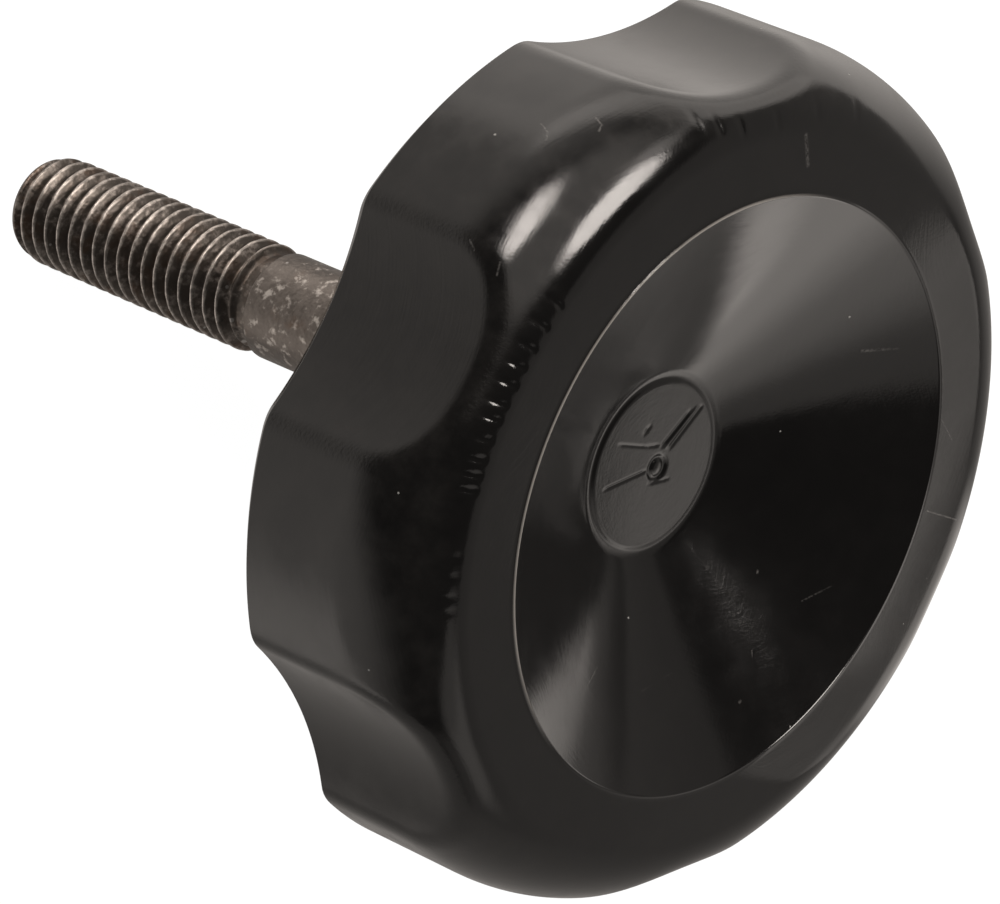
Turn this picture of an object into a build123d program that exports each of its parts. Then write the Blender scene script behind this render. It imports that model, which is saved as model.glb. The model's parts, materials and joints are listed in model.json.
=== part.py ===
from build123d import *
from math import acos, atan2, cos, degrees, hypot, radians, sin
import os

# Fluted hand knob: a moulded head with a steel stud moulded into it.
# It lies as it comes to rest, on two neighbouring lobes and the tip of its stud.
# All sizes are in millimetres. Depths run along the knob's axis, from the face towards the tip.

# Head: rim, flutes and edges
head_diameter = 60.0
rim_height = 15.7           # from the face to the back plane
flute_count = 6
flute_depth = 2.2           # from the lobes in to the floor of a flute
flute_radius = 25.0
ridge_radius = 2.5          # rounding between a flute and the lobes beside it
face_round_width = 5.2      # rounded front edge, measured along the face
face_round_height = 7.0     # rounded front edge, measured along the axis
back_chamfer = 0.8

# Head: dish in the face, with a low round pad at its centre
dish_diameter = 41.4
dish_depth = 7.7            # from the face to the top of the pad
dish_edge_chamfer = 0.3
pad_diameter = 11.8
pad_step = 0.25             # height of the pad over the dish floor round it
dish_floor_width = 0.5      # flat ring between the pad and the cone

# Head: hub on the back, whose end is the seat
hub_seat_diameter = 20.0
hub_height = 4.3
hub_draft = 3.0             # degrees
hub_root_chamfer = 0.8
hub_edge_chamfer = 0.6

# Stud: a hexagon bolt, moulded in behind the dish
hex_cover = 3.7             # plastic between the pad and the bolt's head
hex_flats = 13.0
hex_height = 5.3
hex_chamfer_angle = 30.0
bolt_length = 50.0          # under the bolt's head to the tip
thread_length = 24.5
thread_diameter = 8.0
shank_diameter = 7.75
shank_bevel = 0.5
tip_chamfer = 0.8

# How close a place has to be to count as the same
tolerance = 0.001

# Sizes that follow
head_radius = head_diameter / 2
face_radius = head_radius - face_round_width
dish_radius = dish_diameter / 2
pad_radius = pad_diameter / 2
dish_floor_depth = dish_depth + pad_step
hub_seat_radius = hub_seat_diameter / 2
hub_depth = rim_height + hub_height
hub_foot_radius = hub_seat_radius + hub_height * sin(radians(hub_draft)) / cos(radians(hub_draft))
hex_top = dish_depth + hex_cover
hex_seat = hex_top + hex_height
hex_corner_radius = hex_flats / 2 / cos(radians(180 / 6))
hex_chamfer = (hex_corner_radius - hex_flats / 2) * sin(radians(hex_chamfer_angle)) / cos(radians(hex_chamfer_angle))
thread_radius = thread_diameter / 2
shank_radius = shank_diameter / 2
tip_depth = hex_seat + bolt_length
thread_start = tip_depth - thread_length

# Outline of the lobes: where the ridge arc between a flute and a lobe is centred
flute_centre = head_radius - flute_depth + flute_radius
ridge_centre = head_radius - ridge_radius
ridge_angle = acos(
    (ridge_centre**2 + flute_centre**2 - (flute_radius + ridge_radius) ** 2) / (2 * ridge_centre * flute_centre)
)

# Rest: two lobes beside one flute touch the floor at their back edge, and so does the tip.
# The tilt is the slope of the line from one contact to the other.
lobe_reach = ridge_centre * cos(ridge_angle) + ridge_radius
lobe_contact_depth = rim_height - back_chamfer
tip_contact_depth = tip_depth - tip_chamfer
tilt = atan2(lobe_reach - thread_radius, tip_contact_depth - lobe_contact_depth)

# The origin is on the floor, below the middle of the knob's length
rear_x = -tip_depth * cos(tilt) - (thread_radius - tip_chamfer) * sin(tilt)
front_x = (
    face_radius * sin(tilt)
    - face_round_height * cos(tilt)
    + hypot(face_round_height * cos(tilt), face_round_width * sin(tilt))
)
face_height = lobe_contact_depth * sin(tilt) + lobe_reach * cos(tilt)
face_centre = Vector(-(rear_x + front_x) / 2, 0, face_height)

# Planes: the face, looked at from the front, and a lengthwise section for what is turned.
# The section runs through the middle of a lobe, so that no flute lies across a turned face's seam.
face_direction = Vector(cos(tilt), 0, sin(tilt))
up_the_face = Vector(-sin(tilt), 0, cos(tilt))
face_plane = Plane(origin=face_centre, x_dir=up_the_face, z_dir=face_direction)
knob_axis = Axis(face_centre, face_direction)
floor_flute_angle = 180.0
lobe_angle = radians(floor_flute_angle + 180 / flute_count)
lobe_direction = up_the_face * cos(lobe_angle) + face_plane.y_dir * sin(lobe_angle)
section_plane = Plane(origin=face_centre, x_dir=lobe_direction, z_dir=lobe_direction.cross(face_direction))


def depth_of(shape):
    """Depth of a shape's centre behind the face."""
    return -face_plane.to_local_coords(shape.center()).Z


def distance_from_axis(shape):
    """Distance of a shape's centre from the knob's axis."""
    local = face_plane.to_local_coords(shape.center())
    return hypot(local.X, local.Y)


# Stud: hexagon head, plain shank and threaded length, the thread at its outside diameter
with BuildPart() as threaded_stud:
    with BuildSketch(face_plane.offset(-hex_seat)):
        RegularPolygon(hex_flats / 2, 6, major_radius=False)
    extrude(amount=hex_height)
    with BuildSketch(section_plane):
        with BuildLine():
            Polyline(
                (0, -hex_top),
                (hex_flats / 2, -hex_top),
                (hex_corner_radius, -hex_top - hex_chamfer),
                (hex_corner_radius, -hex_seat),
                (0, -hex_seat),
                close=True,
            )
        make_face()
    revolve(axis=knob_axis, mode=Mode.INTERSECT)
    with BuildSketch(section_plane):
        with BuildLine():
            Polyline(
                (0, -hex_seat),
                (shank_radius, -hex_seat),
                (shank_radius, -thread_start),
                (thread_radius, -thread_start - shank_bevel),
                (thread_radius, -tip_depth + tip_chamfer),
                (thread_radius - tip_chamfer, -tip_depth),
                (0, -tip_depth),
                close=True,
            )
        make_face()
    revolve(axis=knob_axis)

# Head: turned blank with its hub, six scooped flutes, the dish, and the stud's seat inside it
with BuildPart() as knob_head:
    with BuildSketch(section_plane) as blank_section:
        with BuildLine():
            Polyline(
                (face_radius, 0),
                (0, 0),
                (0, -hub_depth),
                (hub_seat_radius, -hub_depth),
                (hub_foot_radius, -rim_height),
                (head_radius, -rim_height),
                (head_radius, -face_round_height),
            )
            EllipticalCenterArc(
                (face_radius, -face_round_height),
                face_round_width,
                face_round_height,
                start_angle=0,
                arc_size=90,
            )
        make_face()
        hub_edge = blank_section.vertices().sort_by_distance((hub_seat_radius, -hub_depth))[0]
        chamfer(hub_edge, hub_edge_chamfer)
        hub_foot = blank_section.vertices().sort_by_distance((hub_foot_radius, -rim_height))[0]
        chamfer(hub_foot, hub_root_chamfer)
    revolve(axis=knob_axis)

    with BuildSketch(face_plane.offset(-rim_height)):
        with PolarLocations(flute_centre, flute_count, start_angle=floor_flute_angle):
            Circle(flute_radius)
    extrude(amount=rim_height, mode=Mode.SUBTRACT)
    ridges = knob_head.edges(Select.NEW).filter_by(lambda edge: depth_of(edge) < rim_height - tolerance)
    fillet(ridges, ridge_radius)

    back_rim = knob_head.edges().filter_by(
        lambda edge: abs(depth_of(edge) - rim_height) < tolerance
        and max(distance_from_axis(corner) for corner in edge.vertices()) > hub_foot_radius + hub_root_chamfer + tolerance
    )
    chamfer(back_rim, back_chamfer)

    with BuildSketch(section_plane):
        with BuildLine():
            Polyline(
                (0, 0),
                (0, -dish_depth),
                (pad_radius, -dish_depth),
                (pad_radius, -dish_floor_depth),
                (pad_radius + dish_floor_width, -dish_floor_depth),
                (dish_radius, 0),
                close=True,
            )
        make_face()
    revolve(axis=knob_axis, mode=Mode.SUBTRACT)
    dish_rim = knob_head.edges().filter_by(GeomType.CIRCLE).filter_by(
        lambda edge: abs(edge.radius - dish_radius) < tolerance and abs(depth_of(edge)) < tolerance
    )
    chamfer(dish_rim, dish_edge_chamfer)
    add(threaded_stud.part, mode=Mode.SUBTRACT)

knob_head.part.label = "knob_head"
threaded_stud.part.label = "threaded_stud"

os.makedirs("parts", exist_ok=True)
export_step(knob_head.part, "parts/knob_head.step")
export_step(threaded_stud.part, "parts/threaded_stud.step")

print(f"tilt {degrees(tilt):.3f} degrees, face centre {face_centre.X:.3f}, {face_centre.Z:.3f}")
for piece in (knob_head.part, threaded_stud.part):
    box = piece.bounding_box()
    print(piece.label, f"volume {piece.volume:.1f}", f"box {box.min} to {box.max}")
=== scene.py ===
import json
import math

import bpy
import numpy as np
from mathutils import Matrix, Vector


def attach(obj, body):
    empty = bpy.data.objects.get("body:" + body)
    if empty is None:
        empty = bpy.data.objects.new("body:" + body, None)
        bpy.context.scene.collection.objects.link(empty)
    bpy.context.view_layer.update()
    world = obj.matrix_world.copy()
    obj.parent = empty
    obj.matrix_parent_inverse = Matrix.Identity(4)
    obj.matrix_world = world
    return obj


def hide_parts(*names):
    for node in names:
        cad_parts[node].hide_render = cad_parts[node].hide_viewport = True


# A fluted hand knob lying on a pale table: a glossy black moulded head with a dark steel stud in it.
# Sizes are in millimetres along the knob's own lines: "up" runs up the face, "side" across it,
# and "depth" from the face towards the tip of the stud. Angles go round the axis from up towards side.

mm = 0.001
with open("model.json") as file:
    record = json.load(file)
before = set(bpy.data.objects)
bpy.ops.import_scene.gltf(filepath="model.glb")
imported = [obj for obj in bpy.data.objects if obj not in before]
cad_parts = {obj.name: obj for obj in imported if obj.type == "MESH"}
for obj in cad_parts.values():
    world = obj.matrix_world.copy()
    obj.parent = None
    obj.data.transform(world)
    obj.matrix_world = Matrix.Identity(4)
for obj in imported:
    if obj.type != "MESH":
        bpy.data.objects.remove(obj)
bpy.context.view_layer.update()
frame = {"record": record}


# The knob's own lines, read from the stud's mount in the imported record
threadMount = next(m for m in frame["record"]["mounts"] if m["name"] == "stud_thread")
threadDepth = 54.3          # depth of that mount behind the face
axisBack = Vector(threadMount["axis"]).normalized()
axisFront = -axisBack
faceUp = Vector((-axisFront.z, 0, axisFront.x))
faceSide = Vector((0, 1, 0))
faceCentre = Vector(threadMount["pos_m"]) - axisBack * threadDepth * mm


def toWorld(up, side, depth):
    # each array of knob coordinates times its own direction, from the centre of the face
    lines = np.stack([up, side, depth], axis=-1) * mm
    return lines @ np.array([faceUp, faceSide, axisBack]) + np.array(faceCentre)


def makePiece(name, points, quads, triangles=()):
    # a mesh from an array of points and arrays of four-sided and three-sided faces
    mesh = bpy.data.meshes.new(name)
    mesh.from_pydata(points.tolist(), [], [*np.asarray(quads).tolist(), *np.asarray(triangles).tolist()])
    mesh.update()
    mesh.shade_smooth()
    piece = bpy.data.objects.new(name, mesh)
    bpy.context.scene.collection.objects.link(piece)
    return piece


def ringFaces(rows, columns):
    # quads that join each ring of points to the next one, closed all the way round
    row, column = np.meshgrid(np.arange(rows - 1), np.arange(columns), indexing="ij")
    nextColumn = (column + 1) % columns
    corners = [row * columns + column, (row + 1) * columns + column,
               (row + 1) * columns + nextColumn, row * columns + nextColumn]
    return np.stack(corners, axis=-1).reshape(-1, 4)


def addValues(piece, name, values):
    # one number for each point, for a material to read
    layer = piece.data.attributes.new(name, "FLOAT", "POINT")
    layer.data.foreach_set("value", np.asarray(values, np.float32).ravel())


def smoothStep(low, high, value):
    t = np.clip((value - low) / (high - low), 0, 1)
    return t * t * (3 - 2 * t)


# Head
head = {
    "radius": 30.0,
    "rimHeight": 15.7,
    "flutes": 6,
    "fluteDepth": 2.2,
    "fluteRadius": 25.0,
    "ridgeRadius": 3.0,       # rolling-ball rounding where a flute meets the rest
    "roundWidth": 5.2,        # front rounding along the face and along the axis
    "roundHeight": 7.0,
    "backChamfer": 0.8,
    "lipRadius": 20.95,       # outer foot of the fine bead round the dish
    "lipWidth": 0.15,         # its sloping outer side
    "lipHeight": 0.11,
    "dishRadius": 20.72,
    "dishDepth": 7.4,
    "padShift": -0.4,         # the pad sits this far off the middle, along up
    "shiftEnds": (6.6, 20.0), # the dish is shifted with it inside the first radius, and not past the second
    "padRadius": 5.9,
    "padEdge": 0.26,          # half width of the soft step up to the pad
    "padStep": 0.13,
    "rootRadius": 1.6,
    "seatRadius": 10.0,
    "hubDepth": 20.0,
    "hubDraft": 3.0,
    "hubRoot": 1.5,
    "seatChamfer": 0.6,
    "columns": 600,           # points round the head, closer together at the marks
    "crowding": 0.5,
    "crowdedAt": 20.0,
    "gripEnds": (26.0, 28.5), # the dry film grows between these distances from the axis
}

# The stud that the head is moulded round
stud = {
    "shankRadius": 3.875,
    "hexTop": 11.4,
    "hexSeat": 16.7,
    "hexFlats": 13.0,
    "tip": 66.7,
    "threadLength": 24.5,
    "threadRadius": 4.0,
    "threadPitch": 1.25,
    "crestShare": 0.12,       # flat at the crest, and at the root, as shares of the pitch
    "rootShare": 0.2,
    "noseLength": 2.4,        # round nose at the tip, and how much narrower it gets
    "noseDrop": 1.1,
    "tipSlope": 1.8,          # the tip's chamfer line, which the nose stays inside
    "tipDrop": 0.85,
    "columns": 120,
    "rowsPerPitch": 20,
}

# Short nicks across the front rounding: angle, distance from the axis, depth
nicks = {
    "places": [
        (13.8, 26.0, 0.10), (10.1, 26.1, 0.12), (6.6, 26.1, 0.12), (3.6, 26.2, 0.12), (0.8, 26.2, 0.12),
        (-2.2, 26.3, 0.12), (-4.5, 26.3, 0.12), (-7.5, 26.4, 0.12), (-10.4, 26.4, 0.14), (-12.7, 26.4, 0.14),
        (-14.9, 26.4, 0.14), (-16.9, 27.3, 0.10), (-24.7, 26.6, 0.04), (-27.7, 26.6, 0.04),
        (-30.7, 26.6, 0.04), (-32.9, 26.6, 0.03), (48.1, 27.7, 0.05), (51.1, 27.1, 0.05), (55.1, 26.3, 0.05),
        (62.5, 26.1, 0.04), (71.3, 26.5, 0.03), (80.6, 26.7, 0.03),
    ],
    "length": 0.65,           # half length across the rounding
    "width": 0.2,             # half width round the head
}

# Marks left by the mould on the pad: up, side to up, side, then half width and height
padLines = [
    (0.03, 1.31, -1.27, 4.31, 0.13, -0.06),
    (-0.87, 1.43, -2.32, 5.21, 0.13, -0.06),
    (-0.42, 1.37, -1.80, 4.76, 0.10, 0.05),
    (4.31, 0.21, 1.53, 0.87, 0.11, -0.05),
    (3.79, -2.89, 0.45, -0.56, 0.11, -0.06),
    (-0.33, -1.28, -2.13, -0.40, 0.11, -0.05),
    (1.53, 0.87, 0.30, 1.35, 0.12, -0.05),
    (2.30, 1.60, 2.05, 2.20, 0.16, -0.06),
]
padCrater = {
    "up": -0.52,
    "side": -0.06,
    "radius": 0.72,
    "width": 0.2,
    "depth": 0.14,
    "bead": 0.04,             # small bead in its middle, and that bead's width
    "beadWidth": 0.35,
}


def unevenAngles():
    # evenly spaced angles, drawn together round one place by taking off a sine of their distance from it
    even = np.arange(head["columns"]) / head["columns"] * 2 * np.pi
    return crowd(even)


def crowd(angle):
    return angle - head["crowding"] * np.sin(angle - math.radians(head["crowdedAt"]))


def cutDistances(radius, depth, angle):
    # Signed distances outside the turned blank and inside a flute, and how far their directions agree.
    # The blank is a cylinder with an ellipse in front of it, and the flute a cylinder along the axis.
    sector = 2 * np.pi / head["flutes"]
    across = (angle + sector / 2) % sector - sector / 2
    outX = np.maximum(radius - (head["radius"] - head["roundWidth"]), 1e-6)
    outZ = np.maximum(head["roundHeight"] - depth, 0)
    reachShare = np.hypot(outX / head["roundWidth"], outZ / head["roundHeight"])
    slopeX = outX / head["roundWidth"] ** 2
    slopeZ = outZ / head["roundHeight"] ** 2
    slope = np.hypot(slopeX, slopeZ)
    fromBlank = reachShare * (reachShare - 1) / slope
    centre = head["radius"] - head["fluteDepth"] + head["fluteRadius"]
    toX = centre - radius * np.cos(across)
    toY = -radius * np.sin(across)
    reach = np.hypot(toX, toY)
    fromFlute = head["fluteRadius"] - reach
    meet = slopeX / slope * (np.cos(across) * toX + np.sin(across) * toY) / reach
    return fromBlank, fromFlute, meet


def roundedCut(radius, depth, angle):
    # Distance outside the head. The head is what both the turned blank and the flute leave, and where
    # they meet, the distance is taken from a circle that touches both.
    fromBlank, fromFlute, meet = cutDistances(radius, depth, angle)
    u = fromBlank + head["ridgeRadius"]
    v = fromFlute + head["ridgeRadius"]
    both = (u > v * meet) & (v > u * meet)
    circle = np.sqrt(np.maximum(u * u + v * v - 2 * u * v * meet, 0) / np.maximum(1 - meet**2, 1e-9))
    return np.where(both, circle - head["ridgeRadius"], np.maximum(fromBlank, fromFlute))


def flutedOutside(angle, originRadius, originDepth, rayOut, rayForward):
    # the surface along each ray, found by halving the range that it lies in
    farthest, halvings = 12.0, 34
    low = np.zeros_like(angle)
    high = np.full_like(angle, farthest)
    for step in range(halvings):
        middle = (low + high) / 2
        outside = roundedCut(originRadius + rayOut * middle, originDepth - rayForward * middle, angle) > 0
        high = np.where(outside, middle, high)
        low = np.where(outside, low, middle)
    return originRadius + rayOut * low, originDepth - rayForward * low


def hexagonReach(angle, flats):
    sector = np.pi / 3
    across = (angle + sector / 2) % sector - sector / 2
    return flats / 2 / np.cos(across)


def arcRows(centreRadius, centreDepth, radius, start, end, count):
    # places on an arc in the section, as distance from the axis and depth
    turn = np.radians(np.linspace(start, end, count))
    return list(zip(centreRadius + radius * np.cos(turn), centreDepth - radius * np.sin(turn)))


def sectionInside():
    # the bolt's pocket and the hub, from the pocket's front out to the back plane, as turned rows
    draft = math.tan(math.radians(head["hubDraft"]))
    footRadius = head["seatRadius"] + (head["hubDepth"] - head["rimHeight"]) * draft
    rows = [(stud["shankRadius"], stud["hexSeat"]), (stud["shankRadius"], head["hubDepth"] - 0.2)]
    rows += [(stud["shankRadius"] + 0.2, head["hubDepth"])]
    rows += [(head["seatRadius"] - head["seatChamfer"] - 0.1, head["hubDepth"])]
    rows += [(head["seatRadius"] - head["seatChamfer"], head["hubDepth"] - 0.02)]
    rows += [(head["seatRadius"], head["hubDepth"] - head["seatChamfer"])]
    root = head["hubRoot"]
    rows += arcRows(footRadius + root, head["rimHeight"] + root, root, 183, 90, 7)
    return rows


def sectionDish():
    # the fine bead, the cone, its rounded root, and the soft step up to the pad
    pad, floorDepth = head["padRadius"], head["dishDepth"] + head["padStep"]
    foot = pad + 0.5
    outer, top, height = head["lipRadius"], head["lipRadius"] - head["lipWidth"], head["lipHeight"]
    rows = [(outer + 0.3, 0.0), (outer + 0.02, 0.0), (outer - 0.02, -0.015), (top + 0.02, 0.015 - height)]
    rows += [(top - 0.02, -height), (head["dishRadius"] + 0.02, -height * 0.8)]
    start = (head["dishRadius"], -height * 0.6)
    slope = math.atan2(floorDepth - start[1], start[0] - foot)
    tangent = head["rootRadius"] * math.tan(slope / 2)
    end = (foot + tangent * math.cos(slope), floorDepth - tangent * math.sin(slope))
    for share in (0, 0.003, *np.linspace(0, 1, 18)[1:]):
        rows.append((start[0] + (end[0] - start[0]) * share, start[1] + (end[1] - start[1]) * share))
    rows += arcRows(foot - tangent, floorDepth - head["rootRadius"], head["rootRadius"],
                    -90 + math.degrees(slope), -90, 6)[1:]
    rows = [row for row in rows if row[0] > pad + 0.3]
    for place in np.linspace(0, 1, 6):
        rise = head["padStep"] * place * place * (3 - 2 * place)
        rows.append((pad + head["padEdge"] - 2 * head["padEdge"] * place, floorDepth - rise))
    return rows


def padHeight(up, side):
    # height of the pad's marks: each line a narrow hump or groove, and a ring-shaped pit at the middle
    height = np.zeros_like(up)
    for startUp, startSide, endUp, endSide, width, rise in padLines:
        runUp, runSide = endUp - startUp, endSide - startSide
        length = math.hypot(runUp, runSide)
        share = np.clip(((up - startUp) * runUp + (side - startSide) * runSide) / length**2, 0, 1)
        away = np.hypot(up - startUp - share * runUp, side - startSide - share * runSide)
        fade = np.clip(np.minimum(share, 1 - share) * length / 0.5 + 0.3, 0, 1)
        height += rise * fade * np.exp(-((away / width) ** 2))
    away = np.hypot(up - padCrater["up"], side - padCrater["side"])
    height -= padCrater["depth"] * np.exp(-(((away - padCrater["radius"]) / padCrater["width"]) ** 2))
    height += padCrater["bead"] * np.exp(-((away / padCrater["beadWidth"]) ** 2))
    return height


def headRings(angle):
    # rings from the bolt's pocket round the back, the flutes and the face to the pad's edge, each as
    # its points' distances from the axis and their depths
    columns = head["columns"]
    rings = []

    def addRing(radius, depth):
        rings.append((np.broadcast_to(radius, (columns,)), np.broadcast_to(depth, (columns,))))

    hexagon = hexagonReach(angle, stud["hexFlats"])
    addRing(stud["hexFlats"] / 2 - 0.2, stud["hexTop"])
    addRing(hexagon, stud["hexTop"] + 0.5)
    addRing(hexagon, stud["hexSeat"])
    for radius, depth in sectionInside():
        addRing(radius, depth)
    # the back plane, out to the outline of the lobes and flutes, and its chamfer
    flat = np.zeros_like(angle)
    insideRadius, insideDepth = 20.0, 12.0
    outline = flutedOutside(angle, flat + insideRadius, flat + insideDepth, flat + 1, flat)[0]
    backFoot = rings[-1][0]
    chamfer = head["backChamfer"]
    for share in (0.25, 0.5, 0.75, 0.95):
        addRing(backFoot + (outline - chamfer - backFoot) * share, head["rimHeight"])
    for inward, forward in ((chamfer + 0.05, 0.0), (chamfer, 0.0), (chamfer - 0.04, 0.04),
                            (0.04, chamfer - 0.04), (0.0, chamfer), (0.0, chamfer + 0.06)):
        addRing(outline - inward, head["rimHeight"] - forward)
    # the side, then the front rounding along rays from the middle of its ellipse
    sideDepths = np.linspace(head["rimHeight"] - chamfer - 0.5, head["roundHeight"] + 0.4, 12)
    turns = np.radians(np.concatenate([np.linspace(0, 54, 20), np.linspace(56, 88.6, 26)]))
    originRadius = head["radius"] - head["roundWidth"]
    rowDepth = np.concatenate([sideDepths, np.full(len(turns), head["roundHeight"])])
    rayOut = np.concatenate([np.ones(len(sideDepths)), head["roundWidth"] * np.cos(turns)])
    rayForward = np.concatenate([np.zeros(len(sideDepths)), head["roundHeight"] * np.sin(turns)])
    long = np.hypot(rayOut, rayForward)
    grid = np.ones((len(rowDepth), columns))
    radius, depth = flutedOutside(grid * angle, grid * originRadius, grid * rowDepth[:, None],
                                  grid * (rayOut / long)[:, None], grid * (rayForward / long)[:, None])
    for ringRadius, ringDepth in zip(radius, depth):
        addRing(ringRadius, ringDepth)
    # the flat of the face, then the dish
    inner = head["lipRadius"] + 0.6
    for share in np.linspace(0, 1, 7)[:-1]:
        addRing(originRadius + (inner - originRadius) * share, 0.0)
    for ringRadius, ringDepth in sectionDish():
        addRing(ringRadius, ringDepth)
    return np.array([ring[0] for ring in rings]), np.array([ring[1] for ring in rings])


def addNicks(radius, depth, angle):
    # nicks: short hollows whose long way runs across the rounding
    for place, reach, deep in nicks["places"]:
        turn = (angle - math.radians(place) + np.pi) % (2 * np.pi) - np.pi
        across = turn * radius / nicks["width"]
        along = (radius - reach) / nicks["length"]
        depth = depth + deep * np.exp(-(across**2) - along**4) * (depth < head["roundHeight"])
    return depth


def padGrid(ringPoints):
    # The pad as a square grid, each point moved to a circle as large as its square. The outermost
    # square is the last ring of the head, so only the points inside it are new.
    columns = head["columns"]
    half = columns // 8
    across, along = np.meshgrid(np.arange(-half, half + 1), np.arange(-half, half + 1), indexing="ij")
    square = np.maximum(np.abs(across), np.abs(along))
    wide = np.abs(across) >= np.abs(along)
    rise = np.where(wide, along / np.where(across == 0, 1, across), across / np.where(along == 0, 1, along))
    slant = np.pi / 4 * rise
    wideTurn = slant + np.where(across < 0, np.pi, 0)
    tallTurn = np.where(along < 0, 1.5, 0.5) * np.pi - slant
    turn = np.where(wide, wideTurn, tallTurn)
    inside = square < half
    number = np.zeros(across.shape, int)
    number[inside] = ringPoints + np.arange(inside.sum())
    edgeColumn = np.round(turn / (2 * np.pi) * columns).astype(int) % columns
    number[~inside] = ringPoints - columns + edgeColumn[~inside]
    quads = np.stack([number[:-1, :-1], number[:-1, 1:], number[1:, 1:], number[1:, :-1]], axis=-1)
    return crowd(turn[inside]), square[inside] / half, quads.reshape(-1, 4)


def makeHead():
    # the rings joined to each other, the pad's grid inside the last, and a fan that closes the pocket
    columns = head["columns"]
    angle = unevenAngles()
    ringRadius, ringDepth = headRings(angle)
    ringAngle = np.broadcast_to(angle, ringRadius.shape)
    rows = len(ringRadius)
    ringDepth = addNicks(ringRadius, ringDepth, ringAngle)
    inDish = (1 - smoothStep(*head["shiftEnds"], ringRadius)) * (ringDepth < stud["hexTop"])
    up = ringRadius * np.cos(ringAngle) + head["padShift"] * inDish
    side = ringRadius * np.sin(ringAngle)

    padAngle, padShare, padQuads = padGrid(rows * columns)
    padReach = padShare * (head["padRadius"] - head["padEdge"])
    padUp, padSide = padReach * np.cos(padAngle), padReach * np.sin(padAngle)
    marks = padHeight(padUp, padSide) * (1 - smoothStep(0.93, 1.0, padShare))

    # the last point is the middle of the pocket's front
    points = toWorld(np.concatenate([up.ravel(), padUp + head["padShift"], [0]]),
                     np.concatenate([side.ravel(), padSide, [0]]),
                     np.concatenate([ringDepth.ravel(), head["dishDepth"] - marks, [stud["hexTop"]]]))
    first = np.arange(columns)
    fan = np.stack([np.full(columns, len(points) - 1), first, (first + 1) % columns], axis=-1)
    quads = np.concatenate([ringFaces(rows, columns), padQuads])
    piece = makePiece("moulded_head", points, quads, fan)

    # what the material reads: the place round the axis and along the section
    steps = np.hypot(np.diff(ringRadius, axis=0), np.diff(ringDepth, axis=0))
    along = np.concatenate([np.zeros((1, columns)), np.cumsum(steps, axis=0)])
    padAlong = along[-1].mean() + head["padRadius"] - padReach
    turn = np.concatenate([ringAngle.ravel(), padAngle])
    turned = np.stack([np.append(np.cos(turn), 0), np.append(np.sin(turn), 0),
                       np.concatenate([along.ravel(), padAlong, [0]])], axis=-1)
    layer = piece.data.attributes.new("turned", "FLOAT_VECTOR", "POINT")
    layer.data.foreach_set("vector", turned.astype(np.float32).ravel())
    # and where the ridges, the grip and the bead's upper side are, with nothing on the pad; the bead's upper
    # side gets a pale colour that is partly rubbed wear and partly a painted highlight
    fromBlank, fromFlute, meet = cutDistances(ringRadius, ringDepth, ringAngle)
    onRim = (ringRadius > head["gripEnds"][0]) * (ringDepth < head["rimHeight"] - 0.2)
    masks = {
        "ridge": np.exp(-(((fromBlank - fromFlute) / 0.45) ** 2)) * onRim,
        "grip": smoothStep(*head["gripEnds"], ringRadius),
        # the bead's upper side, where a pale colour is painted as partly rubbed wear and partly a painted
        # highlight
        "rubbed": smoothStep(0.04, 0.10, -ringDepth) * smoothStep(0.2, 0.75, np.cos(ringAngle - 0.1)),
    }
    for name, values in masks.items():
        addValues(piece, name, np.append(values.ravel(), np.zeros(len(padAlong) + 1)))
    return piece


def threadReach(angle, depth):
    # How far the thread stands out: a straight-sided ridge with a narrow crest and a rounded root,
    # wound right-handed, rounded off at the tip and running out at the shank.
    start = stud["tip"] - stud["threadLength"]
    turns = (depth / stud["threadPitch"] - angle / (2 * np.pi)) % 1
    fromCrest = 1 - np.abs(turns - 0.5) * 2   # 0 at the crest, 1 in the middle of the groove
    crest, root = stud["crestShare"], stud["rootShare"]
    toothHeight = 0.6134 * stud["threadPitch"]
    rootRadius = stud["threadRadius"] - toothHeight
    reach = rootRadius + toothHeight * (1 - np.clip((fromCrest - crest) / (1 - crest - root), 0, 1))
    # groove at the last turn, then the shank
    last = smoothStep(start + 1.9, start + 1.1, depth)
    reach = reach + (rootRadius + 0.1 - reach) * last
    shank = smoothStep(start + 0.45, start - 0.05, depth)
    reach = reach + (stud["shankRadius"] - reach) * shank
    # tip: a round nose over the last turns, kept inside the chamfer's line
    fromTip = stud["tip"] - depth
    bend = 1 - np.clip(fromTip / stud["noseLength"], 0, 1)
    nose = stud["threadRadius"] - stud["noseDrop"] * (1 - np.sqrt(1 - bend**2))
    chamfer = stud["threadRadius"] - stud["tipDrop"] + stud["tipSlope"] * fromTip
    return np.minimum(np.minimum(reach, nose), chamfer)


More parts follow.
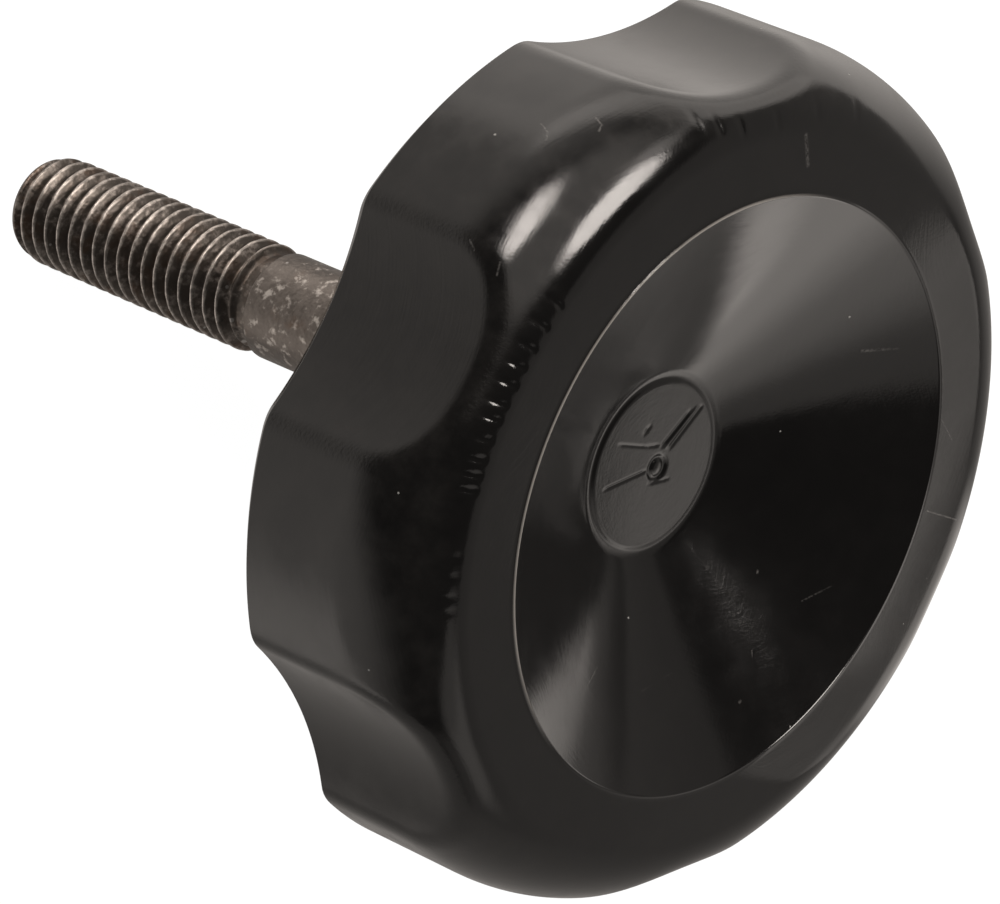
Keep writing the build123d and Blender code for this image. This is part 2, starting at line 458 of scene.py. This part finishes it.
def makeStud():
    # one turned surface: bolt head hidden in the plastic, shank, thread and rounded tip
    columns = stud["columns"]
    angle = np.arange(columns) / columns * 2 * np.pi
    start = stud["tip"] - stud["threadLength"]
    hexagon = hexagonReach(angle, stud["hexFlats"])
    rings = [(np.full(columns, stud["hexFlats"] / 2 - 0.2), stud["hexTop"]), (hexagon, stud["hexTop"] + 0.5),
             (hexagon, stud["hexSeat"]), (np.full(columns, stud["shankRadius"]), stud["hexSeat"])]
    for depth in np.linspace(head["hubDepth"] - 0.4, start - 0.3, 40):
        rings.append((np.full(columns, stud["shankRadius"]), depth))
    step = stud["threadPitch"] / stud["rowsPerPitch"]
    for depth in np.arange(start - 0.2, stud["tip"] - 1e-6, step):
        rings.append((threadReach(angle, depth + 0 * angle), depth))
    end = threadReach(angle, stud["tip"] - 0.004 + 0 * angle)
    rings.append((end, stud["tip"] - 0.004))
    rings.append((end - 0.15, stud["tip"]))
    rings.append((end * 0.5, stud["tip"]))
    reach = np.array([ring[0] for ring in rings])
    depth = np.array([np.broadcast_to(ring[1], (columns,)) for ring in rings])
    turn = np.broadcast_to(angle, reach.shape)
    points = toWorld((reach * np.cos(turn)).ravel(), (reach * np.sin(turn)).ravel(), depth.ravel())
    poles = toWorld(np.zeros(2), np.zeros(2), np.array([stud["hexTop"], stud["tip"]]))
    points = np.concatenate([points, poles])
    first = np.arange(columns)
    second = (first + 1) % columns
    last = (len(rings) - 1) * columns
    near = np.full(columns, len(points) - 2)
    far = np.full(columns, len(points) - 1)
    fans = np.concatenate([np.stack([near, second, first], axis=-1),
                           np.stack([far, last + first, last + second], axis=-1)])
    piece = makePiece("steel_stud", points, ringFaces(len(rings), columns)[:, ::-1], fans)

    # what the material reads: the rubbed crests, the plain shank and the tip, then the two poles
    threaded = smoothStep(start + 0.6, start + 1.3, depth)
    crest = smoothStep(stud["threadRadius"] - 0.12, stud["threadRadius"] - 0.02, reach) * threaded
    shank = 1 - smoothStep(start - 0.2, start + 0.4, depth)
    tip = smoothStep(stud["tip"] - 2.2, stud["tip"] - 0.6, depth)
    addValues(piece, "crest", np.append(crest.ravel(), [0, 0]))
    addValues(piece, "shank", np.append(shank.ravel(), [1, 0]))
    addValues(piece, "tip", np.append(tip.ravel(), [0, 1]))
    return piece


# Scratches and fibres on the plastic: up, side, depth of each end, width, and how strongly they show
scratches = [
    (-7.5, -7.23, 5.4, -8.97, -4.82, 5.4, 0.10, 0.8),
    (-8.97, -4.82, 5.4, -9.9, -2.21, 5.4, 0.10, 0.9),
    (-8.89, -9.02, 4.1, -11.19, -6.51, 4.0, 0.09, 0.6),
    (-11.27, -8.62, 3.4, -13.02, -6.12, 3.3, 0.09, 0.7),
    (-15.43, -4.07, 2.5, -17.03, -2.29, 1.9, 0.08, 0.4),
    (-3.93, -13.99, 3.2, -6.68, -12.1, 3.6, 0.08, 0.3),
    (-9.79, 12.82, 2.4, -11.9, 14.07, 1.3, 0.16, 0.8),
    (-6.3, -16.13, 1.9, -6.65, -16.78, 1.5, 0.08, 0.8),
    (-2.24, -17.77, 1.6, -2.27, -18.37, 1.3, 0.07, 0.8),
    (-12.86, -8.55, 2.8, -13.08, -9.14, 2.6, 0.08, 0.9),
    (-21.0, 5.05, 0.0, -24.82, 5.44, 0.0, 0.08, 0.9),
    (-18.2, 11.03, 0.0, -20.26, 10.14, 0.0, 0.06, 0.5),
    (3.4, -16.22, 2.2, 1.2, -13.79, 3.6, 0.08, 0.8),
    (5.68, -17.71, 1.2, 3.4, -16.22, 2.2, 0.07, 0.5),
    (8.98, 23.21, 0.0, 7.46, 21.58, 0.0, 0.22, 0.6),
    (23.6, 18.06, 4.72, 23.57, 17.78, 4.07, 0.11, 1.0),
    (23.57, 17.78, 4.07, 23.82, 17.34, 3.9, 0.11, 1.0),
    (25.18, 16.31, 7.33, 25.36, 15.98, 6.39, 0.10, 1.0),
    (25.36, 15.98, 6.39, 25.66, 15.44, 6.03, 0.10, 1.0),
    (28.83, 7.59, 5.76, 28.76, 7.11, 5.18, 0.10, 0.8),
    (28.3, 7.05, 3.24, 28.31, 6.23, 3.03, 0.10, 0.7),
    (-12.53, -12.11, 1.8, -12.6, -12.0, 1.8, 0.16, 1.0),
    (-10.47, -3.23, 5.1, -10.5, -3.2, 5.1, 0.14, 1.0),
    (-11.97, -3.43, 4.4, -12.0, -3.6, 4.4, 0.12, 0.9),
]

# Materials. Patches are given as how many to a metre, and the levels of their noise at which they start
# and are full; bumps as how many to a metre and their height in millimetres; specks as cells to a
# metre, their size in a cell and the share of cells that have one.
plastic = {
    "black": (0.0026, 0.0024, 0.0024),
    "roughness": 0.085,
    "ior": 1.5,
    "bloom": (0.0130, 0.0118, 0.0108),  # dry grey film on the sides and in the flutes
    "bloomRoughness": 0.27,
    "bloomPatches": (420.0, 0.25, 0.85),
    "bloomShare": 0.12,                 # how much of it there is all over, and how much more on the grip
    "bloomOnGrip": 0.75,
    "smudges": (320.0, 0.3, 0.8),
    "smudgeRoughness": 0.045,
    "scratch": (0.10, 0.095, 0.09),
    "scratchBreaks": (5200.0, 0.36, 0.58),
    "rubbed": (0.40, 0.37, 0.34),       # the bead round the dish, pale along its upper side: partly rubbed wear, partly a painted highlight
    "rubbedAndPaintedGlintShare": 0.6,
    "specks": (620.0, 0.06, 0.10),
    "speckColour": (0.35, 0.34, 0.32),
    "speckShare": 0.8,
    "speckRoughness": 0.4,
    "speckHeight": 0.02,
    "skin": (6250.0, 0.0034),           # grain of the moulded skin
    "waves": (330.0, 0.010),
    "crinkles": (4200.0, 0.016),        # on the ridges
    "polishLines": (4.0, 4.0, 5.0),     # fine turning lines: breaks round the axis, and lines to a millimetre
    "polishHeight": 0.0052,
}

steel = {
    "dark": (0.095, 0.082, 0.072),
    "shank": (0.185, 0.162, 0.145),
    "worn": (0.66, 0.60, 0.55),
    "grey": (0.40, 0.355, 0.32),
    "pale": (0.56, 0.515, 0.475),
    "rust": (0.13, 0.065, 0.032),
    "metallic": 0.85,
    "roughness": 0.34,
    "wornRoughness": 0.24,
    "fineRoughness": 0.14,
    "blotches": (700.0, 0.46, 0.62),
    "fine": (2600.0, 0.4, 0.66),
    "scabs": (1300.0, 0.54, 0.70),
    "stains": (300.0, 0.5, 0.7),
    "specks": (900.0, 0.16, 0.2),
    "speckColour": (0.5, 0.48, 0.46),
    "speckShare": 0.7,
    "pits": (3600.0, 0.022),
    "dents": (1100.0, 0.06),
}


def addNode(tree, kind, settings=None, **values):
    # one node, its settings and its input values by name
    made = tree.nodes.new(kind)
    for key, value in (settings or {}).items():
        setattr(made, key, value)
    for key, value in values.items():
        made.inputs[key].default_value = value
    return made


def addMath(tree, operation, first, second=0.0, clamp=False):
    # a Math node whose inputs are sockets or plain numbers
    made = addNode(tree, "ShaderNodeMath", {"operation": operation, "use_clamp": clamp})
    for socket, value in zip(made.inputs, (first, second)):
        if isinstance(value, (int, float)):
            socket.default_value = value
        else:
            tree.links.new(value, socket)
    return made.outputs[0]


def addUp(tree, *values):
    total = values[0]
    for value in values[1:]:
        total = addMath(tree, "ADD", total, value)
    return total


def addProduct(tree, *values):
    total = values[0]
    for value in values[1:]:
        total = addMath(tree, "MULTIPLY", total, value)
    return total


def addLine(tree, value, slope, start):
    # a value times one number plus another
    return addMath(tree, "ADD", addMath(tree, "MULTIPLY", value, slope), start)


def addRange(tree, value, low, high, start=0.0, end=1.0):
    # a value taken smoothly from one range to another
    made = addNode(tree, "ShaderNodeMapRange", {"interpolation_type": "SMOOTHSTEP"})
    tree.links.new(value, made.inputs["Value"])
    for name, number in zip(("From Min", "From Max", "To Min", "To Max"), (low, high, start, end)):
        made.inputs[name].default_value = number
    return made.outputs["Result"]


def addMix(tree, share, first, second):
    # two colours mixed by a share, each colour a socket or plain numbers
    made = addNode(tree, "ShaderNodeMix", {"data_type": "RGBA"})
    for name, value in (("Factor", share), ("A", first), ("B", second)):
        if isinstance(value, tuple):
            made.inputs[name].default_value = (*value, 1)
        else:
            tree.links.new(value, made.inputs[name])
    return made.outputs["Result"]


def startGroup(name, inputs, outputs):
    # a shader node group with named sockets: vectors are marked V, numbers F
    tree = bpy.data.node_groups.new(name, "ShaderNodeTree")
    kinds = {"V": "NodeSocketVector", "F": "NodeSocketFloat"}
    for side, sockets in (("INPUT", inputs), ("OUTPUT", outputs)):
        for label, kind in sockets.items():
            tree.interface.new_socket(name=label, in_out=side, socket_type=kinds[kind])
    return tree, tree.nodes.new("NodeGroupInput").outputs, tree.nodes.new("NodeGroupOutput").inputs


def scaled(tree, vector, factor):
    made = addNode(tree, "ShaderNodeVectorMath", {"operation": "SCALE"})
    tree.links.new(vector, made.inputs["Vector"])
    tree.links.new(factor, made.inputs["Scale"])
    return made.outputs["Vector"]


def addNoise(tree, vector, detail=3.0, roughness=0.55):
    made = addNode(tree, "ShaderNodeTexNoise", Scale=1.0, Detail=detail, Roughness=roughness)
    tree.links.new(vector, made.inputs["Vector"])
    return made.outputs["Fac"]


def makeMottling():
    # cloudy patches: noise of a given size, cut off softly below one level and above another
    sockets = {"Vector": "V", "Per Metre": "F", "Low": "F", "High": "F"}
    tree, given, wanted = startGroup("mottling", sockets, {"Mask": "F"})
    place = scaled(tree, given["Vector"], given["Per Metre"])
    noise = addNoise(tree, place, detail=5.0, roughness=0.6)
    made = addNode(tree, "ShaderNodeMapRange", {"interpolation_type": "SMOOTHSTEP"})
    tree.links.new(noise, made.inputs["Value"])
    tree.links.new(given["Low"], made.inputs["From Min"])
    tree.links.new(given["High"], made.inputs["From Max"])
    tree.links.new(made.outputs["Result"], wanted["Mask"])
    return tree


def makeDust():
    # specks: a small disc in a few of the cells of a random pattern
    sockets = {"Vector": "V", "Per Metre": "F", "Size": "F", "Share": "F"}
    tree, given, wanted = startGroup("dust specks", sockets, {"Mask": "F"})
    cells = addNode(tree, "ShaderNodeTexVoronoi", Scale=1.0)
    tree.links.new(scaled(tree, given["Vector"], given["Per Metre"]), cells.inputs["Vector"])
    split = addNode(tree, "ShaderNodeSeparateColor")
    tree.links.new(cells.outputs["Color"], split.inputs[0])
    chosen = addMath(tree, "LESS_THAN", split.outputs[0], given["Share"])
    size = addMath(tree, "MULTIPLY", given["Size"], addMath(tree, "ADD", split.outputs[1], 0.3))
    away = addMath(tree, "DIVIDE", cells.outputs["Distance"], size)
    inside = addMath(tree, "SUBTRACT", 1.0, away, clamp=True)
    sharp = addRange(tree, inside, 0.0, 0.35)
    tree.links.new(addProduct(tree, chosen, sharp), wanted["Mask"])
    return tree


def makeRelief():
    # small bumps: noise of a given size times a height
    sockets = {"Vector": "V", "Per Metre": "F", "Height": "F"}
    tree, given, wanted = startGroup("fine relief", sockets, {"Height": "F"})
    noise = addNoise(tree, scaled(tree, given["Vector"], given["Per Metre"]), detail=2.0)
    tree.links.new(addProduct(tree, noise, given["Height"]), wanted["Height"])
    return tree


def makeScratch():
    # a thin line: one minus the distance to a stretch between two points, over its width
    sockets = {"Vector": "V", "Start": "V", "Run": "V", "Inverse Length": "F", "Width": "F"}
    tree, given, wanted = startGroup("scratch", sockets, {"Mask": "F"})
    links = tree.links
    toPlace = addNode(tree, "ShaderNodeVectorMath", {"operation": "SUBTRACT"})
    links.new(given["Vector"], toPlace.inputs[0])
    links.new(given["Start"], toPlace.inputs[1])
    along = addNode(tree, "ShaderNodeVectorMath", {"operation": "DOT_PRODUCT"})
    links.new(toPlace.outputs["Vector"], along.inputs[0])
    links.new(given["Run"], along.inputs[1])
    squared = addProduct(tree, given["Inverse Length"], given["Inverse Length"])
    share = addMath(tree, "MULTIPLY", along.outputs["Value"], squared, clamp=True)
    away = addNode(tree, "ShaderNodeVectorMath", {"operation": "DISTANCE"})
    links.new(toPlace.outputs["Vector"], away.inputs[0])
    links.new(scaled(tree, given["Run"], share), away.inputs[1])
    widths = addMath(tree, "DIVIDE", away.outputs["Value"], given["Width"])
    links.new(addMath(tree, "SUBTRACT", 1.0, widths, clamp=True), wanted["Mask"])
    return tree


def useGroup(tree, group, vector, *values):
    # a node group, its inputs after the vector given in order
    made = addNode(tree, "ShaderNodeGroup", {"node_tree": group})
    tree.links.new(vector, made.inputs["Vector"])
    for socket, value in zip(made.inputs[1:], values):
        socket.default_value = value
    return made.outputs[0]


def startMaterial(name):
    # a Principled shader with the piece's own coordinates
    material = bpy.data.materials.new(name)
    material.use_nodes = True
    tree = material.node_tree
    place = addNode(tree, "ShaderNodeTexCoord").outputs["Object"]
    return material, tree, tree.nodes["Principled BSDF"], place


def readValue(tree, name, vector=False):
    made = addNode(tree, "ShaderNodeAttribute", {"attribute_name": name})
    return made.outputs["Vector" if vector else "Fac"]


def addBump(tree, height, shader):
    # heights are in millimetres
    made = addNode(tree, "ShaderNodeBump", Strength=1.0, Distance=mm)
    tree.links.new(height, made.inputs["Height"])
    tree.links.new(made.outputs["Normal"], shader.inputs["Normal"])


mottling, dust, relief, scratch = makeMottling(), makeDust(), makeRelief(), makeScratch()


def addScratches(tree, place):
    # how strongly any scratch or fibre shows at a place
    marked = 0.0
    for startUp, startSide, startDepth, endUp, endSide, endDepth, width, strength in scratches:
        start, end = toWorld(np.array([startUp, endUp]), np.array([startSide, endSide]),
                             np.array([startDepth, endDepth]))
        mark = useGroup(tree, scratch, place, start, end - start, 1 / np.linalg.norm(end - start), width * mm)
        marked = addMath(tree, "MAXIMUM", addProduct(tree, mark, strength), marked)
    return marked


def makePlastic():
    # glossy black moulding: turning lines, moulded skin, a dry film on the grip, dust and scratches, and a
    # painted highlight along the bead's upper side
    material, tree, shader, place = startMaterial("black_moulding")
    links = tree.links
    turned = readValue(tree, "turned", vector=True)
    ridge, grip, rubbed = (readValue(tree, name) for name in ("ridge", "grip", "rubbed"))
    stretch = addNode(tree, "ShaderNodeVectorMath", {"operation": "MULTIPLY"})
    stretch.inputs[1].default_value = plastic["polishLines"]
    links.new(turned, stretch.inputs[0])
    lines = addNoise(tree, stretch.outputs[0], detail=3.0, roughness=0.7)
    film = useGroup(tree, mottling, place, *plastic["bloomPatches"])
    film = addProduct(tree, film, addLine(tree, grip, plastic["bloomOnGrip"], plastic["bloomShare"]))
    specks = useGroup(tree, dust, place, *plastic["specks"])
    colour = addMix(tree, film, plastic["black"], plastic["bloom"])
    colour = addMix(tree, addProduct(tree, specks, plastic["speckShare"]), colour, plastic["speckColour"])
    marked = addProduct(tree, addScratches(tree, place),
                        useGroup(tree, mottling, place, *plastic["scratchBreaks"]))
    colour = addMix(tree, marked, colour, plastic["scratch"])
    # pale colour on the bead's upper side: partly rubbed wear, partly a painted highlight
    colour = addMix(tree, addProduct(tree, rubbed, plastic["rubbedAndPaintedGlintShare"]), colour, plastic["rubbed"])
    links.new(colour, shader.inputs["Base Color"])
    smudge = useGroup(tree, mottling, place, *plastic["smudges"])
    rough = addUp(tree, plastic["roughness"],
                  addProduct(tree, smudge, plastic["smudgeRoughness"]),
                  addProduct(tree, film, plastic["bloomRoughness"] - plastic["roughness"]),
                  addProduct(tree, specks, plastic["speckRoughness"]))
    links.new(rough, shader.inputs["Roughness"])
    height = addUp(tree, useGroup(tree, relief, place, *plastic["skin"]),
                   useGroup(tree, relief, place, *plastic["waves"]),
                   addProduct(tree, ridge, useGroup(tree, relief, place, *plastic["crinkles"])),
                   addProduct(tree, lines, plastic["polishHeight"]),
                   addProduct(tree, specks, plastic["speckHeight"]))
    addBump(tree, height, shader)
    shader.inputs["IOR"].default_value = plastic["ior"]
    return material


def makeSteel():
    # oiled dark steel: bright worn crests, a blotchy grey shank and a few brown stains
    material, tree, shader, place = startMaterial("dark_steel")
    links = tree.links
    crest, shank, tip = (readValue(tree, name) for name in ("crest", "shank", "tip"))
    blotch, fine, scab, stain = (useGroup(tree, mottling, place, *steel[name])
                                 for name in ("blotches", "fine", "scabs", "stains"))
    patchy = addProduct(tree, blotch, addLine(tree, fine, 0.6, 0.1))
    colour = addMix(tree, patchy, steel["dark"], steel["grey"])
    bare = addProduct(tree, shank, addLine(tree, fine, 0.45, 0.55))
    colour = addMix(tree, bare, colour, steel["shank"])
    colour = addMix(tree, addProduct(tree, shank, scab), colour, steel["pale"])
    rusty = addProduct(tree, stain, addLine(tree, tip, 0.4, 0.4))
    colour = addMix(tree, rusty, colour, steel["rust"])
    rubbed = addMath(tree, "MAXIMUM", addProduct(tree, crest, addLine(tree, fine, 0.55, 0.4)),
                     addProduct(tree, tip, addProduct(tree, fine, 0.3)))
    colour = addMix(tree, rubbed, colour, steel["worn"])
    specks = useGroup(tree, dust, place, *steel["specks"])
    colour = addMix(tree, addProduct(tree, specks, steel["speckShare"]), colour, steel["speckColour"])
    links.new(colour, shader.inputs["Base Color"])
    rough = addUp(tree, steel["roughness"], addProduct(tree, fine, steel["fineRoughness"]),
                  addProduct(tree, rubbed, steel["wornRoughness"] - steel["roughness"]))
    links.new(rough, shader.inputs["Roughness"])
    shader.inputs["Metallic"].default_value = steel["metallic"]
    pits, dents = (useGroup(tree, relief, place, *steel[name]) for name in ("pits", "dents"))
    addBump(tree, addUp(tree, pits, dents), shader)
    return material


headPiece = makeHead()
headPiece.data.materials.append(makePlastic())
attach(headPiece, "root")
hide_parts("knob_head")
print("head made:", len(headPiece.data.polygons), "faces")

studPiece = makeStud()
studPiece.data.materials.append(makeSteel())
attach(studPiece, "root")
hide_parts("threaded_stud")
print("stud made:", len(studPiece.data.polygons), "faces")


# Camera: nearly straight down on the knob
view = {
    "target": (10.10, -3.46, 35.40),   # millimetres, a point near the middle of the picture
    "distance": 426.9,
    "azimuth": 85.706,
    "elevation": 77.738,
    "roll": -61.623,
    "lens": 234.0,
    "sensor": 36.0,
}


def cameraAxes():
    # right, up and back of the camera, from its azimuth, elevation and roll
    azimuth, elevation, roll = (math.radians(view[k]) for k in ("azimuth", "elevation", "roll"))
    back = Vector((math.cos(elevation) * math.sin(azimuth), -math.cos(elevation) * math.cos(azimuth),
                   math.sin(elevation)))
    level = Vector((math.cos(azimuth), math.sin(azimuth), 0))
    over = back.cross(level)
    right = level * math.cos(roll) + over * math.sin(roll)
    return right, back.cross(right), back


def makeCamera():
    right, up, back = cameraAxes()
    data = bpy.data.cameras.new("camera")
    data.lens = view["lens"]
    data.sensor_width = view["sensor"]
    data.clip_end = 10
    camera = bpy.data.objects.new("camera", data)
    bpy.context.scene.collection.objects.link(camera)
    place = Vector(view["target"]) * mm + back * view["distance"] * mm
    turn = Matrix((right, up, back)).transposed().to_4x4()
    camera.matrix_world = Matrix.Translation(place) @ turn
    bpy.context.scene.camera = camera


makeCamera()


# Table and light
table = {
    "reach": 1.5,             # metres from the knob to the table's far edges
    "nearEdge": 0.071,        # and to its one near edge
    "nearEdgeAzimuth": 75.0,
    "white": 0.85,
    "glow": 1.2,              # added for the camera, so that the sheet looks white
    "shadowShare": 0.2,       # how much of its shadow the camera sees
    "mirroredDim": 0.33,      # what reflections see of it, on the shaded side and on the lit side
    "mirroredLit": 1.3,
    "litEnds": (0.030, 0.065),  # the lit side fades in between these places along Y
    "studSideEnds": (-0.03, -0.11),  # and the stud's side between these along X
    "studSideShare": 0.75,
    # painted light and painted shade on what reflections see in front of the face, as paler and darker
    # patches: middle, half length and half width, what they add
    "patchEnds": (1.5, 0.3),  # squared distances from a patch's middle at which it ends and is full
    "paintedLightAndShadePatches": [(0.044, -0.001, 0.0085, 0.010, 0.75), (0.075, 0.022, 0.025, 0.016, -0.18),
                (0.125, 0.062, 0.040, 0.028, -0.18)],
}

# Soft boxes: azimuth from +Y towards +X, elevation, distance, width, height in metres, brightness,
# spread in degrees, and how far along side the place lies that they face, in millimetres
softBoxes = {
    "box_left": (-19.0, 49.0, 1.0, 0.29, 0.38, 13.5, 180.0, 0.0),
    "box_right": (51.0, 27.5, 1.0, 0.41, 0.46, 13.5, 180.0, 0.0),
    "box_low": (121.0, -32.0, 0.035, 0.041, 0.036, 0.155, 60.0, 16.5),
    "box_ring": (87.3, -40.0, 0.045, 0.036, 0.016, 0.07, 50.0, 8.0),
}
lightTint = (1.07, 0.995, 0.93)       # a warm white

# The room round the table, as reflections see it. A glow is its brightness, the azimuth and elevation
# of its middle, and the angles from there at which it ends and is full. The other pairs are where a
# wall's top and its edge fade out and are full, as parts of a direction one long.
room = {
    "dark": 0.08,             # dark room above and round the camera
    "fill": 0.35,             # what the room gives as plain fill
    "lowWall": (1.6, -5, 0, 43, 33),         # bright low wall behind the knob
    "lowWallTop": (0.25, 0.13),
    "sideWall": 0.6,          # pale wall on the stud's side
    "sideWallTop": (0.68, 0.3),
    "sideWallEdge": (0.3, -0.5),
    "between": (0.9, 25, 48, 38, 20),        # haze between the two soft boxes
    "beyondTable": 0.22,      # pale ground past the table's near edge
    "beyondTableTop": (0.02, -0.06),
    "beyondTableEdge": (0.3, 0.6),
    "farCard": (0.45, 121, 0, 20, 8),        # pale card far in front of the face
    "farCardTop": (0.21, 0.17),
    "streakTail": (1.7, 37, 21, 11, 4),      # glow beside the right-hand soft box
}


def makeFloor():
    # A white sheet, cut straight on the near side. The camera sees it white, and reflections see a painted
    # fall-off of light over it, with painted paler and darker patches.
    edge = math.radians(table["nearEdgeAzimuth"])
    out = np.array([math.sin(edge), math.cos(edge), 0])
    along = np.array([out[1], -out[0], 0]) * table["reach"]
    near, far = out * table["nearEdge"], -out * table["reach"]
    points = np.array([near - along, near + along, far + along, far - along])
    floor = makePiece("table", points, [[0, 1, 2, 3]])
    material = bpy.data.materials.new("white_table")
    material.use_nodes = True
    tree = material.node_tree
    tree.nodes.clear()
    output = addNode(tree, "ShaderNodeOutputMaterial")
    path = addNode(tree, "ShaderNodeLightPath")
    diffuse = addNode(tree, "ShaderNodeBsdfDiffuse", Color=(*(table["white"],) * 3, 1))
    bright = addNode(tree, "ShaderNodeEmission", Strength=table["glow"])
    seen = addNode(tree, "ShaderNodeMixShader", Fac=1 - table["shadowShare"])
    tree.links.new(diffuse.outputs[0], seen.inputs[1])
    tree.links.new(bright.outputs[0], seen.inputs[2])
    place = addNode(tree, "ShaderNodeSeparateXYZ")
    tree.links.new(addNode(tree, "ShaderNodeTexCoord").outputs["Object"], place.inputs[0])
    litSide = addRange(tree, place.outputs["Y"], *table["litEnds"])
    studSide = addRange(tree, place.outputs["X"], *table["studSideEnds"])
    studSide = addProduct(tree, studSide, table["studSideShare"])
    mirrored = addNode(tree, "ShaderNodeEmission", Color=(*lightTint, 1))
    lit = addLine(tree, addMath(tree, "MAXIMUM", litSide, studSide),
                  table["mirroredLit"] - table["mirroredDim"], table["mirroredDim"])
    # painted light and painted shade: patches added to what reflections see of the sheet
    for middleX, middleY, halfLength, halfWidth, added in table["paintedLightAndShadePatches"]:
        awayX = addLine(tree, place.outputs["X"], 1 / halfLength, -middleX / halfLength)
        awayY = addLine(tree, place.outputs["Y"], 1 / halfWidth, -middleY / halfWidth)
        away = addUp(tree, addProduct(tree, awayX, awayX), addProduct(tree, awayY, awayY))
        lit = addUp(tree, lit, addRange(tree, away, *table["patchEnds"], 0.0, added))
    tree.links.new(lit, mirrored.inputs["Strength"])
    glossy = addNode(tree, "ShaderNodeMixShader")
    tree.links.new(path.outputs["Is Glossy Ray"], glossy.inputs["Fac"])
    tree.links.new(diffuse.outputs[0], glossy.inputs[1])
    tree.links.new(mirrored.outputs[0], glossy.inputs[2])
    mix = addNode(tree, "ShaderNodeMixShader")
    tree.links.new(path.outputs["Is Camera Ray"], mix.inputs["Fac"])
    tree.links.new(glossy.outputs[0], mix.inputs[1])
    tree.links.new(seen.outputs[0], mix.inputs[2])
    tree.links.new(mix.outputs[0], output.inputs["Surface"])
    floor.data.materials.append(material)


def makeSoftBox(name, azimuth, elevation, distance, width, height, brightness, spread, aside):
    # an area lamp that faces the knob, its power worked out from the brightness of its face
    data = bpy.data.lights.new(name, "AREA")
    data.shape = "ELLIPSE"
    data.size, data.size_y = width, height
    data.energy = brightness * math.pi * width * height * math.pi / 4
    data.spread = math.radians(spread)
    data.color = lightTint
    lamp = bpy.data.objects.new(name, data)
    bpy.context.scene.collection.objects.link(lamp)
    azimuth, elevation = math.radians(azimuth), math.radians(elevation)
    level = math.cos(elevation)
    away = Vector((level * math.sin(azimuth), level * math.cos(azimuth), math.sin(elevation)))
    lamp.rotation_mode = "QUATERNION"
    lamp.rotation_quaternion = away.to_track_quat("Z", "Y")
    lamp.location = faceCentre + faceSide * aside * mm + away * distance
    lamp.visible_camera = False


def makeRoom():
    # what reflections and fill see. The camera sees white.
    world = bpy.data.worlds.new("room")
    world.use_nodes = True
    tree = world.node_tree
    tree.nodes.clear()
    links = tree.links
    way = addNode(tree, "ShaderNodeTexCoord").outputs["Generated"]
    split = addNode(tree, "ShaderNodeSeparateXYZ")
    links.new(way, split.inputs[0])
    across, height = split.outputs["X"], split.outputs["Z"]

    def spot(brightness, azimuth, elevation, wide, narrow):
        # bright within one angle of a direction, dark past another
        azimuth, elevation = math.radians(azimuth), math.radians(elevation)
        agree = addNode(tree, "ShaderNodeVectorMath", {"operation": "DOT_PRODUCT"})
        links.new(way, agree.inputs[0])
        level = math.cos(elevation)
        middle = (level * math.sin(azimuth), level * math.cos(azimuth), math.sin(elevation))
        agree.inputs[1].default_value = middle
        low, high = math.cos(math.radians(wide)), math.cos(math.radians(narrow))
        return addProduct(tree, brightness, addRange(tree, agree.outputs["Value"], low, high))

    glowing = addUp(
        tree,
        addProduct(tree, spot(*room["lowWall"]), addRange(tree, height, *room["lowWallTop"])),
        addProduct(tree, room["sideWall"], addRange(tree, height, *room["sideWallTop"]),
                   addRange(tree, across, *room["sideWallEdge"])),
        spot(*room["between"]),
        addProduct(tree, room["beyondTable"], addRange(tree, height, *room["beyondTableTop"]),
                   addRange(tree, across, *room["beyondTableEdge"])),
        addProduct(tree, spot(*room["farCard"]), addRange(tree, height, *room["farCardTop"])),
        spot(*room["streakTail"]),
        room["dark"],
    )
    glow = addNode(tree, "ShaderNodeCombineColor")
    for socket, tint in zip(glow.inputs, lightTint):
        links.new(addProduct(tree, glowing, tint), socket)
    glow = glow.outputs[0]
    path = addNode(tree, "ShaderNodeLightPath")
    glossy = addMix(tree, path.outputs["Is Glossy Ray"], (room["fill"],) * 3, glow)
    shown = addMix(tree, path.outputs["Is Camera Ray"], glossy, (1.0, 1.0, 1.0))
    background = addNode(tree, "ShaderNodeBackground", Strength=1.0)
    links.new(shown, background.inputs["Color"])
    links.new(background.outputs[0], addNode(tree, "ShaderNodeOutputWorld").inputs["Surface"])
    bpy.context.scene.world = world


makeFloor()
for name, values in softBoxes.items():
    makeSoftBox(name, *values)
makeRoom()
bpy.context.scene.view_settings.view_transform = "Standard"
print("table, soft boxes and room made")
